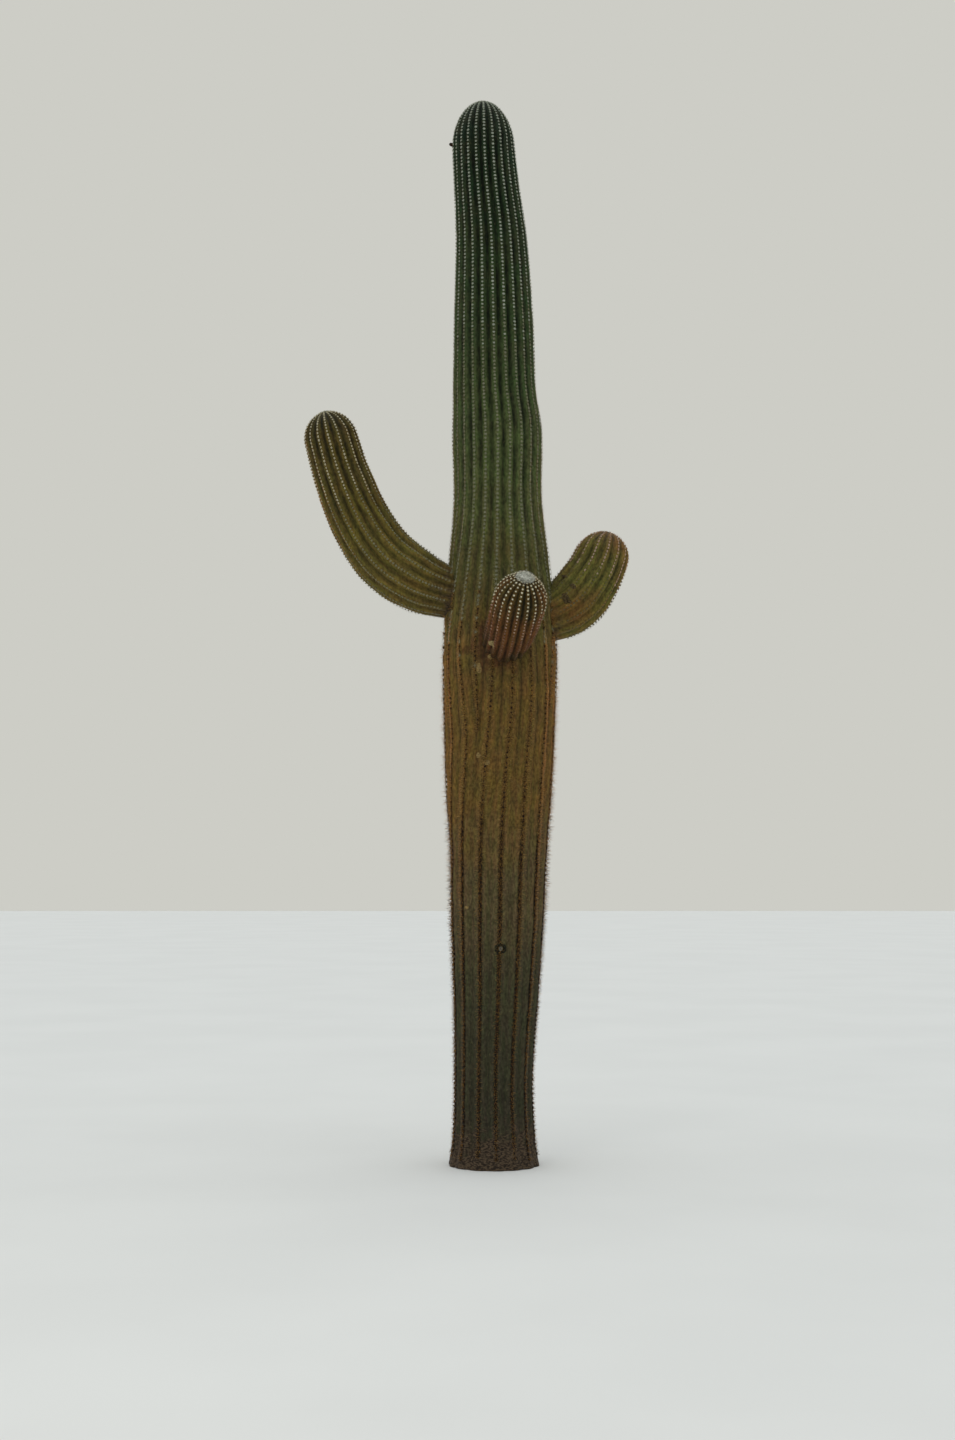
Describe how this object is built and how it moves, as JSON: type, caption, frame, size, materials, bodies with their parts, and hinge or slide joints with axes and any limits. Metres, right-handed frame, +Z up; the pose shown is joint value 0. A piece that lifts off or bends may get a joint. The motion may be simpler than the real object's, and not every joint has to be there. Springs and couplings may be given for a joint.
{
  "type": "saguaro cactus",
  "caption": "Tall ribbed columnar cactus with a thick stem, a long left arm bowed upwards, a short stub arm to the front and a short raised right arm.",
  "frame": {"origin": "centre of the flat cut at the stem's foot, at ground level", "axes": "+Z up along the stem, -Y towards the side the picture shows, +X to the right in it, towards the right arm"},
  "size_m": [1.797, 1.0347, 5.919],
  "materials": {
    "flesh": "matte",
    "felt": "matte",
    "husk": "matte"
  },
  "bodies": {
    "root": {"trunk": "flesh", "left_arm_elbow": "flesh", "left_arm_upper": "flesh", "front_arm": "flesh", "right_arm": "flesh", "trunk_crown": "felt", "left_arm_crown": "felt", "front_arm_crown": "felt", "right_arm_crown": "felt", "dried_bud": "husk"}
  },
  "joints": []
}
